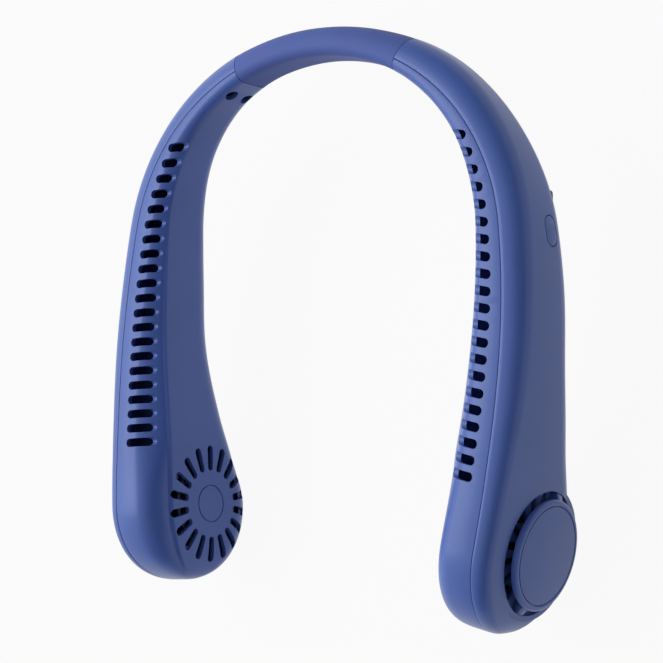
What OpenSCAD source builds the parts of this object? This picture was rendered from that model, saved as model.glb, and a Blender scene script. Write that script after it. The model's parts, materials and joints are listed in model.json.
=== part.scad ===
// Neck fan worn round the back of the neck: two hollow arms joined by a soft
// flexible band, each arm ending in a paddle that holds one centrifugal fan.
// +X is the wearer's left, +Y the back of the neck, +Z the side with the air slots.
// The origin is on the surface that the paddles stand on, in the middle of the outline.
// A place on an arm is given by s, the distance along its centre line from the middle
// of the band, by n, the distance outwards from that line, and by a drop below the top.
// Round the fan axis, X points to the tip of the paddle, Y down and Z outwards.

/* [Centre line] */
// Radius of the arc behind the neck
crown_r = 111.4; // [100:0.1:120]
// Turn of that arc on each side, degrees
crown_sweep = 18.5; // [16:0.1:20]
// Radius of the shoulder arc
shoulder_r = 78.8; // [75:0.1:82]
// Turn of the shoulder arc, degrees
shoulder_sweep = 65.7; // [63:0.1:68]
// Radius of the long side arc
side_r = 332; // [315:1:350]
// Turn of the side arc, degrees
side_sweep = 13.1; // [12:0.1:14]
// Straight stretch from the side arc to the fan axis
foot_l = 42.3; // [40:0.1:45]
// From the fan axis to the tip of the paddle
tip_l = 32; // [31.5:0.1:34]

/* [Arm sections] */
// Thickness of the band, inner to outer side
band_t = 12; // [11:0.1:13]
// Height of the band
band_h = 20; // [19.5:0.1:21.5]
// Thickness of the paddle, inner to outer side
paddle_t = 26; // [25:0.1:27]
// Height of the paddle
paddle_h = 65; // [64:0.5:68]
// Sag of the upper edge halfway along the arm
edge_sag = 1.8; // [1:0.1:2.4]
// Wall of the shells
wall = 2; // [1.8:0.1:2.2]
// Gap shown where two shells meet
seam_gap = 0.15; // [0.1:0.01:0.3]
// How far the fan panel stands proud of the slope above it
panel_raise = 1.2; // [0.6:0.1:1.6]

/* [Band] */
// From the middle of the band to each end of the sleeve
band_half_l = 42; // [40:0.5:44]
// Wall of the soft sleeve
sleeve_wall = 1.7; // [1.4:0.1:1.8]
// Length of a plug inside the sleeve
plug_sleeve_l = 8; // [6:0.5:10]
// Length of a plug inside the arm
plug_arm_l = 16; // [15:0.5:20]
// Thickness of the spring strip
strip_t = 0.8; // [0.5:0.1:1]
// Height of the spring strip
strip_h = 5.6; // [4:0.2:6]
// From the centre line in to the middle of the strip
strip_offset = 1.2; // [0.9:0.1:1.4]
// Diameter of the link cable
cable_d = 2.4; // [1.8:0.1:2.6]
// From the centre line out to the middle of the cable
cable_offset = 1.6; // [1.4:0.1:1.8]
// From the end of the sleeve to the two screws that hold a plug
band_screw_ahead = 10; // [9.5:0.1:11]
// Distance between those screws
band_screw_pitch = 9.4; // [9:0.1:9.8]
// Radius of the holes that the screws lie in
band_bore_r = 2.8; // [2.5:0.1:3]
// Depth of those holes
band_bore_depth = 3.5; // [3:0.1:3.8]
// Radius of the bosses round them
band_boss_r = 3.8; // [3.6:0.1:4]
// Length of those bosses, from the inner side of the arm
band_boss_l = 5.2; // [5:0.1:5.5]
// Length of the screws, without the head
band_screw_l = 6.4; // [5:0.2:7]

/* [Air slots] */
// Number of outlet slots on each arm
slot_count = 21; // [15:1:22]
// Distance in Y between the last two outlet slots
slot_pitch = 5.94; // [5.8:0.01:6]
// Growth of that distance from one slot to the next, towards the band
slot_pitch_growth = 0.027; // [0.01:0.001:0.04]
// Place of the last outlet slot, nearest the fan
slot_last_s = 218.5; // [215:0.5:219]
// Turn of the slots from the X axis, degrees
slot_turn = 8; // [4:0.5:12]
// Depth of the slot nearest the band
slot_first_depth = 4.8; // [4.4:0.1:5.2]
// Depth of the slot nearest the fan
slot_last_depth = 5.9; // [5.5:0.1:6.5]
// Width of an outlet slot
slot_w = 3.5; // [2.8:0.1:4]
// From the seam to the outer end of a slot, about halfway along the arm
slot_seam_gap = 5; // [4.6:0.1:5.4]
// Number of radial intake slots in each fan panel, and in the floor of the recess
intake_count = 18; // [14:1:18]
// Radius at which the intake slots start
intake_in_r = 14.1; // [13:0.1:15]
// Radius at which the intake slots end
intake_out_r = 24.9; // [24:0.1:25]
// Width of an intake slot at its inner end
intake_in_w = 3.1; // [2.6:0.1:3.4]
// Width of an intake slot at its outer end
intake_out_w = 3.6; // [3:0.1:3.8]
// Radius of the engraved ring in the middle of the panel
ring_r = 7.8; // [6:0.1:9]
// Width and depth of that ring
ring_w = 0.5; // [0.3:0.1:0.8]

/* [Fan] */
// Radius of the impeller
impeller_r = 18; // [17.5:0.1:18.4]
// Radius at which its blades start
blade_in_r = 12.5; // [12.2:0.1:13.5]
// Height of the blades
blade_h = 14.5; // [12:0.5:15]
// Thickness of a blade
blade_t = 0.9; // [0.7:0.1:1.1]
// Number of blades
blade_count = 28; // [18:1:30]
// Lead of the outer end of a blade over its inner end, degrees
blade_lead = 14; // [8:1:18]
// Outer radius of the hub
hub_r = 9; // [8.8:0.1:9.2]
// Wall of the hub and of the plate that carries the blades
rotor_wall = 1; // [0.8:0.1:1.1]
// Gap between the impeller and the fan panel
impeller_gap = 0.8; // [0.6:0.1:1.2]
// Gap between the impeller and the scroll at its tongue
scroll_gap = 1.3; // [1:0.1:1.5]
// How much wider the scroll is where it ends
scroll_growth = 5.7; // [5:0.1:6]
// Wall of the scroll
scroll_wall = 1.2; // [1:0.1:1.4]
// Thickness of the duct divider
divider_t = 1.5; // [1.2:0.1:1.8]
// Place where the divider starts
divider_start_s = 141; // [140:0.5:143]

/* [Motor] */
// Radius of the shaft
shaft_r = 0.75; // [0.6:0.05:0.9]
// Running clearance of the shaft in its bearing
shaft_gap = 0.05; // [0.03:0.01:0.08]
// Outer radius of the bearing
bearing_r = 2.2; // [2:0.05:2.4]
// Radius of the boss in the middle of the hub
core_r = 2; // [1.6:0.1:2.4]
// Length of that boss
core_l = 2.6; // [2.2:0.1:2.8]
// Outer radius of the tube that holds the bearing
tube_r = 3.1; // [3:0.05:3.3]
// Thickness of the magnet ring
magnet_t = 1; // [0.8:0.1:1.1]
// Height of the magnet ring
magnet_h = 10; // [8:0.5:11]
// Air gap between magnet and stator
air_gap = 0.5; // [0.4:0.05:0.6]
// Height of the stator
stator_h = 7.5; // [6:0.5:8]
// Number of stator poles
pole_count = 9; // [6:3:12]
// Radius of the motor's mounting flange
base_r = 8; // [7:0.1:9]
// Thickness of that flange
base_t = 1; // [0.8:0.1:1.4]

/* [Intake cap] */
// Radius of the cap
cap_r = 21.1; // [20.6:0.1:21.6]
// Radius of the disc let into the cap
disc_r = 18.7; // [17.5:0.1:19]
// Thickness of that disc
disc_t = 0.8; // [0.6:0.1:1]
// How far the face of the cap stands out from the paddle
cap_proud = 3.5; // [3.2:0.1:4.2]
// Height of the straight rim of the cap
cap_rim_h = 1.2; // [1:0.1:1.5]
// Air gap under the cap
cap_lift = 3.6; // [3.2:0.1:3.8]
// Wall of the cap
cap_wall = 1.2; // [1:0.1:1.4]
// Radius of the recess behind the cap
recess_r = 23.7; // [23.5:0.1:24]
// Depth of the recess
recess_d = 2.4; // [2.2:0.1:2.6]
// Width of the ribs that carry the cap
rib_t = 4; // [3:0.5:5]
// Radius at which the slots in its floor start
floor_in_r = 11; // [10.5:0.1:12]
// Radius at which those slots end
floor_out_r = 22.6; // [21:0.1:22.8]
// Width of those slots
floor_w = 3; // [2.4:0.1:3.2]
// Radius of the ring of screws that close the arm
screw_ring_r = 20.4; // [20.3:0.05:20.6]
// Radius of a screw's shank
screw_r = 0.8; // [0.6:0.05:0.9]
// Radius of its head
head_r = 1.6; // [1.4:0.1:1.8]
// Height of its head
head_h = 1.2; // [1:0.1:1.4]
// Length of its shank
screw_l = 11.5; // [10.5:0.5:12.5]
// Radius of the bosses that take the screws
boss_r = 1.8; // [1.6:0.1:1.9]

/* [Power button] */
// Place of the button along the arm
button_s = 128; // [127:0.5:129]
// Drop of the button below the top of the arm
button_drop = 21.8; // [21.6:0.1:22.2]
// Length of the button
button_l = 11.2; // [10:0.1:11.6]
// Width of the button
button_w = 7; // [6:0.1:7.2]
// Lean of the button towards the lower edge, degrees
button_lean = 12; // [6:1:14]
// Travel of the button
button_travel = 0.8; // [0.4:0.1:0.9]
// Gap round the button
button_gap = 0.15; // [0.1:0.01:0.2]
// Thickness of the rim that holds the button in
button_rim_t = 0.8; // [0.6:0.1:0.9]
// How far that rim lies behind the wall
button_rim_depth = 1.25; // [1.2:0.05:1.4]
// How far that rim is wider than the button
button_rim_w = 1.2; // [0.8:0.1:1.3]

/* [Circuit boards] */
// Length of a board
board_l = 30; // [28:0.5:31]
// Height of a board
board_h = 16; // [15:0.2:16.4]
// Thickness of a board
board_t = 1.2; // [1:0.1:1.4]
// How far a board reaches past the button towards the fan
board_ahead = 12; // [11.5:0.1:12.4]
// How far a board reaches below the middle of the button
board_below = 3.2; // [3:0.1:3.4]
// Radius of the posts that carry a board
post_r = 1.3; // [1:0.1:1.4]
// From the edge of a board in to its posts
post_inset = 2.2; // [1.8:0.1:2.4]
// Width of the switch
switch_w = 4.5; // [4:0.1:5]
// Height of the switch with its plunger
switch_h = 2.6; // [2:0.1:2.7]
// Radius of that plunger
plunger_r = 1.2; // [0.8:0.1:1.5]
// Width of the charging port
port_w = 9; // [8.6:0.1:9.2]
// Thickness of the charging port
port_t = 3.2; // [3:0.1:3.3]
// Length of the charging port
port_l = 9.3; // [8.8:0.1:9.6]
// From the tip-side edge of the board back to the middle of the port
port_back = 24.5; // [24:0.1:25]
// How far the port reaches past the lower edge of the board
port_overhang = 6; // [5.6:0.1:6.4]
// Wall of the port
port_wall = 0.35; // [0.25:0.01:0.45]
// Thickness of the tongue in the port
port_tongue_t = 0.7; // [0.5:0.05:0.9]

/* [Battery] */
// Diameter of the cell
cell_d = 14; // [13:0.1:14.2]
// Length of the cell
cell_l = 50; // [44:1:51]
// Place of the middle of the cell along the arm
cell_s = 170; // [169:0.5:171]
// Thickness of the ribs that the cell lies on
cradle_t = 1.2; // [1:0.1:2]

/* [Hidden] */
$fn = 48;
// Sides of the object: 1 is the wearer's left, -1 the right
SIDES = [["left", 1], ["right", -1]];
SIDE_NODES = ["outer_shell", "inner_shell", "band_plug", "band_screws", "duct_divider", "battery",
    "intake_cap", "cap_disc", "impeller", "rotor_magnet", "motor_shaft", "motor_bearing", "motor_stator",
    "motor_base", "shell_screws"];

// Colours of the moulded parts, the soft sleeve, the metal parts and the boards
SHELL = [0.42, 0.48, 0.68];
SHELL_DARK = [0.36, 0.42, 0.62];
SOFT = [0.33, 0.39, 0.58];
METAL = [0.75, 0.76, 0.78];
BOARD = [0.1, 0.35, 0.2];
CELL = [0.2, 0.45, 0.6];

// Overrun of every cut past the face that it opens
over = 1;
// Clearance between pieces that are placed but don't move on each other
seat = 0.1;
// Gap of a glued or pressed joint
glue = 0.02;
// Gap between soft or moving pieces and what lies beside them
free_gap = 0.3;

// Thickness of the arm between the band and the fan: [share of the way, share of the growth]
thick_shares = [[0, 0], [0.12, 0.07], [0.18, 0.155], [0.24, 0.25], [0.36, 0.37], [0.48, 0.575], [0.6, 0.755],
    [0.72, 0.905], [0.88, 1], [1, 1]];
// Height of the arm, in the same form
height_shares = [[0, 0], [0.12, 0], [0.18, 0.02], [0.24, 0.045], [0.36, 0.15], [0.48, 0.28], [0.6, 0.38],
    [0.72, 0.465], [0.84, 0.66], [0.92, 0.84], [1, 1]];
// Sag of the upper edge, in the same form
sag_shares = [[0, 0.1], [0.2, 0.1], [0.37, 0.27], [0.6, 1], [0.77, 0.78], [0.9, 0.34], [1, 0]];
// Radius of the outer shoulder as a share of the thickness
shoulder_shares = [[0, 0.62], [0.2, 0.68], [0.5, 0.435], [0.75, 0.32], [1, 0.22]];
// Run of the round slope that carries the slots, as a share of the thickness
slope_shares = [[0, 0.36], [0.3, 0.22], [0.6, 0.19], [1, 0.365]];
// Drop of that slope as a share of the height
drop_shares = [[0, 0.2], [0.3, 0.21], [0.6, 0.195], [0.85, 0.21], [1, 0.18]];
// Gap between the seam and a slot, as a share of the one given
gap_shares = [[0.37, 0.46], [0.4, 0.61], [0.43, 0.71], [0.5, 0.82], [0.6, 0.86], [0.7, 0.96], [0.9, 1.06]];
// Radius of the two lower edges as a share of the thickness
lower_share = 0.46;
// Largest radius of an edge as a share of the height, and of the thickness
round_share = 0.48;
full_share = 0.75;
// Largest drop of the slope as a share of the height
drop_limit = 0.36;
// Powers that shape the tip: of the thickness, and of the height
tip_power = 4;
tip_height_power = 2;
// Drop of the fan axis below the top, as a share of the paddle's height
fan_share = 0.565;
// Places of the two cradle ribs as a share of the cell's length
cradle_share = 0.3;
// Stations along each stretch of the arm
arm_steps = 26;
tip_steps = 8;
band_steps = 9;
plug_steps = 8;
divider_steps = 12;
// Steps on each side along the strip and the cable, and round the cable
strip_steps = 12;
cable_steps = 20;
cable_sides = 8;
// Turns of the ribs that carry the cap: the first, and from one to the next
rib_turn = -16.5;
rib_pitch = 90;
rib_count = 3;
// Steps in a quarter turn of a section, and over the slope
turn_steps = 4;
slope_steps = 3;
// Steps along a blade, round the cap's edge and along the scroll
blade_steps = 4;
edge_steps = 5;
scroll_steps = 33;
// Steps of halving that find the place of a slot
halvings = 20;

// Places along the arm
fan_s = arc_length(crown_r, crown_sweep) + arc_length(shoulder_r, shoulder_sweep)
    + arc_length(side_r, side_sweep) + foot_l;
fan_turn = crown_sweep + shoulder_sweep + side_sweep;
hinge_s = band_half_l * 0.45;
band_screw_s = band_half_l + band_screw_ahead;
strip_end_s = band_screw_s - band_boss_r - 2 * seat;

// Levels along the fan axis, and its drop below the top of the arm
fan_drop = paddle_h * fan_share;
panel_z = -paddle_t / 2 + wall;
floor_z = paddle_t / 2 - recess_d;
impeller_z = panel_z + impeller_gap;
plate_z = impeller_z + blade_h;
core_z = impeller_z + rotor_wall + core_l;
base_z = floor_z - wall - base_t;
cap_z = floor_z + cap_lift;
cap_face_z = paddle_t / 2 + cap_proud;

// Turns of the screw bosses, each midway between two intake slots
boss_turns = [for (i = [0:3]) (round(intake_count * (i + 0.5) / 4 - 0.5) + 0.5) * 360 / intake_count];

// Scroll: turn of the tongue, sweep, and its radius there and where it ends
tongue_turn = 240;
scroll_sweep = 330;
scroll_in_r = impeller_r + scroll_gap;
scroll_out_r = scroll_in_r + scroll_growth;

// Divider: just above the tongue, ending beside it
divider_drop = fan_drop - (scroll_in_r + scroll_wall) * -sin(tongue_turn) - free_gap - divider_t;
divider_end_s = fan_s - (scroll_in_r + scroll_wall) * -cos(tongue_turn) - 2 * free_gap;
cell_drop = divider_drop + divider_t + free_gap + seat + cell_d / 2;

// Button and board levels, outwards from the centre line
rim_n = thick(button_s) / 2 - wall - button_rim_depth;
switch_n = rim_n - button_rim_t - button_travel - seat;
board_n = switch_n - switch_h;
board_edge = board_ahead - board_l;
cable_end_s = button_s + board_edge;
// Middle of the band's section, and of the plug at its screws
band_mid = sag(0) + band_h / 2;
screw_mid = height(band_screw_s) / 2;

function arc_length(r, turn) = PI * r * turn / 180;
function ease(t) = t * t * (3 - 2 * t);
function mix(a, b, t) = a + (b - a) * t;
function share(x, from, to) = min(max((x - from) / (to - from), 0), 1);
function turned(r, a) = r * [cos(a), sin(a)];

// Smooth curve through a table of [place, value] pairs
function slope_at(table, i) = i == 0 || i == len(table) - 1 ? 0
    : (table[i + 1][1] - table[i - 1][1]) / (table[i + 1][0] - table[i - 1][0]);
function curve(table, x, i = 0) = i == len(table) - 2 || x <= table[i + 1][0]
    ? let (step = table[i + 1][0] - table[i][0], t = share(x, table[i][0], table[i + 1][0]),
        rise = table[i + 1][1] - table[i][1], a = slope_at(table, i) * step, b = slope_at(table, i + 1) * step)
        table[i][1] + a * t + (3 * rise - 2 * a - b) * t * t + (a + b - 2 * rise) * t * t * t
    : curve(table, x, i + 1);

// Centre line: [x, y, turn] at s, with the crown at y = 0
ARCS = [[crown_r, crown_sweep], [shoulder_r, shoulder_sweep], [side_r, side_sweep]];
function walk(s, i = 0, p = [0, 0], turn = 0) = i == len(ARCS)
    ? [p[0] + s * cos(turn), p[1] - s * sin(turn), turn]
    : let (r = ARCS[i][0], whole = arc_length(r, ARCS[i][1]),
        after = turn + ARCS[i][1] * min(s / whole, 1),
        q = p + r * [sin(after) - sin(turn), cos(after) - cos(turn)])
        s <= whole ? [q[0], q[1], after] : walk(s - whole, i + 1, q, after);
function centre(s) = s < 0 ? let (c = walk(-s)) [-c[0], c[1], -c[2]] : walk(s);

// Sizes of the section at s, taken in by w on every side
function way(s) = min(abs(s) / fan_s, 1);
function past(s, w) = share(s - fan_s, 0, tip_l - w);
function taper(x, power) = pow(1 - pow(x, power), 1 / power);
function thick(s, w = 0) = (mix(band_t, paddle_t, curve(thick_shares, way(s))) - 2 * w)
    * taper(past(s, w), tip_power);
function full_height(s, w) = mix(band_h, paddle_h, curve(height_shares, way(s))) - 2 * w;
function height(s, w = 0) = full_height(s, w) * taper(past(s, w), tip_height_power);
function sag(s) = edge_sag * curve(sag_shares, way(s));
function top_drop(s, w = 0) = w + sag(s) + (full_height(s, w) - height(s, w)) / 2;
function shoulder(s, w = 0) = min(thick(s) * curve(shoulder_shares, way(s)) - w, round_share * height(s, w),
    full_share * thick(s, w));
function lower_r(s, w = 0) = min(lower_share * thick(s) - w, round_share * height(s, w),
    round_share * thick(s, w));
function slope_run(s) = thick(s) * curve(slope_shares, way(s));
function slope_drop(s) = height(s) * curve(drop_shares, way(s));
function raised(s) = panel_raise * ease(share(way(s), 0.35, 0.75)) * thick(s) / paddle_t;

// A run or drop of the slope once the section is taken in by w
function inset(l, w) = max(l - w, l / 3);
function quarter(n, z, r, from) = [for (i = [0:turn_steps]) [n, z] + turned(r, from - 90 * i / turn_steps)];

// Outer half of a section, from the upper seam over the outer side to the lower seam
function outer_half(s, w) = let (h = thick(s, w) / 2, t = -top_drop(s, w), b = t - height(s, w),
    r = shoulder(s, w), q = lower_r(s, w))
    concat(quarter(h - r, t - r, r, 90), quarter(h - q, b + q, q, 0));

// Inner half, from the lower seam up the fan panel and the slope to the upper seam
function inner_half(s, w) = let (h = thick(s, w) / 2, t = -top_drop(s, w), b = t - height(s, w),
    q = lower_r(s, w), seam = h - shoulder(s, w),
    drop = min(inset(slope_drop(s), w), drop_limit * height(s, w)),
    up = min(raised(s), drop / 3), run = min(inset(slope_run(s), w), seam + h - up))
    concat([[h - q, b]], quarter(-h + q, b + q, q, -90), [[-h, t - drop - up]],
        [for (i = [0:slope_steps]) let (p = turned(1, 90 * i / slope_steps))
            [-h + up + run * (1 - p[0]), t - drop * (1 - p[1])]],
        [[seam, t]]);
function whole(s, w) = concat(outer_half(s, w), inner_half(s, w));

// A point of a section in space, and a ring of such points
function place(s, p) = let (c = centre(s))
    [c[0] + p[0] * sin(c[2]), c[1] + p[0] * cos(c[2]) + crown_y, top_z + p[1]];
function ring(s, points) = [for (p = points) place(s, p)];

// Stations of the arm, taken in by w at the tip, and of the band
function stations(w, start = band_half_l) = concat(
    [for (i = [0:arm_steps - 1]) mix(start, fan_s, i / arm_steps)],
    [for (i = [0:tip_steps]) fan_s + (tip_l - w) * sin(88 * i / tip_steps)]);
function band_stations(l) = [for (i = [-band_steps:band_steps]) l * i / band_steps];

// The crown is placed so that the outline's middle in Y is at the origin
rim_y = [for (s = stations(0)) for (p = whole(s, 0)) centre(s)[1] + p[0] * cos(centre(s)[2])];
crown_y = -(min(rim_y) + band_t / 2) / 2;
top_z = paddle_h;

// Outer end of a slot whose middle line meets the section at s, and the s at which that end is at y
function slot_end(s) = place(s,
    [thick(s) / 2 - shoulder(s) - slot_seam_gap * curve(gap_shares, way(s)), -sag(s)]);
function slot_s(y, low, high, i = 0) = let (mid = (low + high) / 2)
    i == halvings ? mid : slot_end(mid)[1] > y ? slot_s(y, mid, high, i + 1) : slot_s(y, low, mid, i + 1);

// Frame at s on the arm: X along the arm, Y outwards, Z up from a drop below the top edge
module at_arm(s, drop = 0) {
    c = centre(s);
    translate([c[0], c[1] + crown_y, top_z - sag(s) - drop]) rotate([0, 0, -c[2]]) children();
}
// The same place, with Z outwards and Y down
module facing(s, drop) at_arm(s, drop) rotate([-90, 0, 0]) children();
module at_fan(z = 0) facing(fan_s, fan_drop) translate([0, 0, z]) children();
module at_button(n = 0) facing(button_s, button_drop) translate([0, 0, n]) children();
module at_band_screws(n = 0) facing(band_screw_s, screw_mid)
    for (y = [-band_screw_pitch, band_screw_pitch]) translate([0, y / 2, n]) children();
// Places round the fan axis
module around(count, r, z = 0) at_fan(z)
    for (i = [0:count - 1]) rotate(i * 360 / count) translate([r, 0]) children();
module at_screws(z) at_fan(z) for (a = boss_turns) rotate(a) translate([screw_ring_r, 0]) children();
// The right side mirrors the left one
module sided(side) mirror([side < 0 ? 1 : 0, 0, 0]) children();

module ring_cut(r, in_r, h) difference() {
    cylinder(r = r, h = h);
    translate([0, 0, -over]) cylinder(r = in_r, h = h + 2 * over);
}
module stadium(l, w) {
    square([l - w, w], center = true);
    for (x = [w - l, l - w]) translate([x / 2, 0]) circle(d = w);
}
// Slot along X from r1 to r2, w1 wide at its inner round end and w2 at the outer one
module radial_slot(r1, r2, w1, w2) {
    polygon([[r1 + w1 / 2, -w1 / 2], [r2 - w2 / 2, -w2 / 2], [r2 - w2 / 2, w2 / 2], [r1 + w1 / 2, w1 / 2]]);
    translate([r1 + w1 / 2, 0]) circle(d = w1);
    translate([r2 - w2 / 2, 0]) circle(d = w2);
}
module radial_slots(r1, r2, w1, w2) for (i = [0:intake_count - 1]) rotate(i * 360 / intake_count)
    radial_slot(r1, r2, w1, w2);

// Closed solid through rings of the same number of points. With other_way, the side between
// the last point of a ring and its first is split along the other diagonal.
function side_faces(a, b, c, d, other_way) = other_way ? [[a, b, d], [b, c, d]] : [[a, b, c], [a, c, d]];
module loft(rings, other_way = false) {
    n = len(rings[0]);
    m = len(rings);
    polyhedron(
        points = [for (r = rings) each r],
        faces = concat(
            [for (i = [0:m - 2]) for (j = [0:n - 1]) let (k = (j + 1) % n)
                each side_faces(i * n + j, i * n + k, (i + 1) * n + k, (i + 1) * n + j, other_way && k == 0)],
            [for (j = [1:n - 2]) each [[0, j + 1, j], [(m - 1) * n, (m - 1) * n + j, (m - 1) * n + j + 1]]]),
        convexity = 10);
}
module outer_body() loft([for (s = stations(0)) ring(s, [for (p = outer_half(s, 0)) p + [seam_gap / 2, 0]])]);
// Here the other diagonal keeps the two seam faces parallel
module inner_body() loft([for (s = stations(0)) ring(s, [for (p = inner_half(s, 0)) p - [seam_gap / 2, 0]])],
    other_way = true);
module cavity() loft([for (s = stations(wall, band_half_l - over)) ring(s, whole(s, wall))]);
// Air space of an arm, without what the two shells keep standing in it
module hollow() difference() {
    cavity();
    scroll();
    recess_floor();
    at_screws(-paddle_t / 2) cylinder(r = boss_r, h = paddle_t);
    board_posts();
    cell_cradles();
    at_band_screws(-thick(band_screw_s) / 2) cylinder(r = band_boss_r, h = band_boss_l);
}

// Spiral wall round the impeller, and the stop above it that turns the air into the arm
function spiral(r, t) = turned(r + scroll_growth * t, tongue_turn - scroll_sweep * t);
module scroll() at_fan(-paddle_t / 2) linear_extrude(height = paddle_t) {
    polygon(concat([for (i = [0:scroll_steps]) spiral(scroll_in_r, i / scroll_steps)],
        [for (i = [scroll_steps:-1:0]) spiral(scroll_in_r + scroll_wall, i / scroll_steps)]));
    translate([0, -fan_drop]) square([scroll_wall, fan_drop - scroll_out_r]);
}
module recess_floor() at_fan(floor_z - wall) cylinder(r = recess_r + wall, h = wall + recess_d + over);
module board_posts() {
    corners = [[board_edge + post_inset, board_below - board_h + post_inset],
        [board_ahead - post_inset, board_below - board_h + post_inset],
        [board_ahead - post_inset, board_below - post_inset]];
    at_button(board_n) for (p = corners) translate(p) cylinder(r = post_r, h = paddle_t / 2);
}
module cell_cradles() for (x = [-cell_l, cell_l] * cradle_share) facing(cell_s, cell_drop) translate([x, 0, 0])
    difference() {
        translate([-cradle_t / 2, 0, -paddle_t / 2]) cube([cradle_t, paddle_h, paddle_t]);
        translate([-cradle_t, 0, 0]) rotate([0, 90, 0]) cylinder(d = cell_d + 2 * seat, h = 2 * cradle_t);
    }

// Parallel slots that run out through the slope, each with a round floor
module outlet_slots() for (i = [0:slot_count - 1]) {
    depth = mix(slot_last_depth, slot_first_depth, i / (slot_count - 1));
    s = slot_s(slot_end(slot_last_s)[1] + i * (slot_pitch + (i - 1) / 2 * slot_pitch_growth), band_half_l,
        slot_last_s + slot_w);
    translate(slot_end(s)) rotate([0, 0, 180 - slot_turn]) translate([slot_w / 2, 0, slot_w / 2 - depth]) {
        linear_extrude(height = depth + over) {
            circle(d = slot_w);
            translate([0, -slot_w / 2]) square([paddle_t, slot_w]);
        }
        rotate([0, 90, 0]) cylinder(d = slot_w, h = paddle_t);
    }
}
module intake_slots() at_fan(-paddle_t / 2 - over) linear_extrude(height = wall + panel_raise + 2 * over)
    radial_slots(intake_in_r, intake_out_r, intake_in_w, intake_out_w);

module outer_shell(side) color(SHELL) difference() {
    outer_body();
    hollow();
    at_fan(floor_z) cylinder(r = recess_r, h = recess_d + cap_proud);
    at_fan(floor_z - wall - over) linear_extrude(height = wall + 2 * over)
        radial_slots(floor_in_r, floor_out_r, floor_w, floor_w);
    at_screws(floor_z - wall - paddle_t / 3) cylinder(r = screw_r + seat, h = paddle_t / 2);
    if (side > 0) {
        at_button(rim_n) rotate(button_lean) linear_extrude(height = paddle_t / 2)
            stadium(button_l + 2 * button_gap, button_w + 2 * button_gap);
        at_port(board_below + port_overhang - port_l) linear_extrude(height = paddle_h / 2)
            stadium(port_w + 2 * seat, port_t + 2 * seat);
    }
}
module inner_shell() color(SHELL) difference() {
    inner_body();
    hollow();
    outlet_slots();
    intake_slots();
    at_fan(-paddle_t / 2 - over) ring_cut(ring_r + ring_w / 2, ring_r - ring_w / 2, over + ring_w);
    at_screws(floor_z - screw_l) cylinder(r = screw_r, h = screw_l);
    at_band_screws(-thick(band_screw_s) / 2 - over) cylinder(r = band_bore_r, h = over + band_bore_depth);
    at_band_screws(-thick(band_screw_s) / 2) cylinder(r = screw_r + seat, h = band_boss_l + over);
}

// Strip and cable follow the centre line
function strip_line(l, n) = [for (i = [-strip_steps:strip_steps])
    let (p = place(i * l / strip_steps, [n - strip_offset, 0])) [p[0], p[1]]];
function backwards(list) = [for (i = [len(list) - 1:-1:0]) list[i]];
module strip(l, gap = 0) translate([0, 0, top_z - band_mid - strip_h / 2 - gap])
    linear_extrude(height = strip_h + 2 * gap)
        polygon(concat(strip_line(l, strip_t / 2 + gap), backwards(strip_line(l, -strip_t / 2 - gap))));
// Place of the cable's core at s: it leaves the plug for the edge of the board
function board_point() = let (c = centre(button_s), n = board_n - board_t / 2, x = board_edge - free_gap)
    [c[0] + n * sin(c[2]) + x * cos(c[2]), c[1] + n * cos(c[2]) - x * sin(c[2]) + crown_y,
    top_z - sag(button_s) - button_drop - board_below + board_h / 2];
function cable_place(s) = mix(place(s, [cable_offset, -band_mid]),
    board_point() + place(s, [0, 0]) - place(cable_end_s, [0, 0]),
    ease(share(s, band_half_l + plug_arm_l, cable_end_s)));
function cable_point(i) = let (p = cable_place(cable_end_s * abs(i) / cable_steps))
    [i < 0 ? -p[0] : p[0], p[1], p[2]];
module cable(r) {
    points = [for (i = [-cable_steps:cable_steps]) cable_point(i)];
    last = 2 * cable_steps;
    loft([for (i = [0:last]) let (d = points[min(i + 1, last)] - points[max(i - 1, 0)], a = atan2(-d[0], d[1]))
        [for (k = [0:cable_sides - 1]) let (p = turned(r, 360 * k / cable_sides))
            points[i] + [cos(a) * p[0], sin(a) * p[0], p[1]]]]);
}

module band_sleeve() color(SOFT) difference() {
    loft([for (s = band_stations(band_half_l - seam_gap)) ring(s, whole(s, 0))]);
    loft([for (s = band_stations(band_half_l + over)) ring(s, whole(s, sleeve_wall))]);
}
module flex_strip() color(METAL) strip(strip_end_s);
module link_cable() color("black") cable(cable_d / 2);
module band_plug() color(SHELL_DARK) difference() {
    loft([for (i = [0:plug_steps])
        let (s = mix(band_half_l - plug_sleeve_l, band_half_l + plug_arm_l, i / plug_steps))
        ring(s, whole(s, wall + 2 * seat))]);
    strip(strip_end_s + seat, seat);
    cable(cable_d / 2 + free_gap);
    at_band_screws(-thick(band_screw_s) / 2) cylinder(r = band_boss_r + seat, h = band_boss_l + seat);
    at_band_screws(-thick(band_screw_s) / 2) cylinder(r = screw_r, h = band_bore_depth + band_screw_l + seat);
}
module band_screws() color(METAL) at_band_screws(-thick(band_screw_s) / 2 + band_bore_depth) {
    translate([0, 0, -head_h]) cylinder(r = band_bore_r - free_gap, h = head_h);
    cylinder(r = screw_r, h = band_screw_l);
}

// Its outer edge is notched round the floor of the recess
module duct_divider() color(SHELL_DARK) difference() {
    loft([for (i = [0:divider_steps]) let (s = mix(divider_start_s, divider_end_s, i / divider_steps),
        n = thick(s, wall + seat) / 2, t = -sag(s) - divider_drop, b = t - divider_t)
        ring(s, [[n, t], [n, b], [-n, b], [-n, t]])]);
    at_fan(floor_z - wall - seat) cylinder(r = recess_r + wall + seat, h = paddle_t / 2);
}
module battery() color(CELL) facing(cell_s, cell_drop) rotate([0, 90, 0])
    cylinder(d = cell_d, h = cell_l, center = true);

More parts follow.
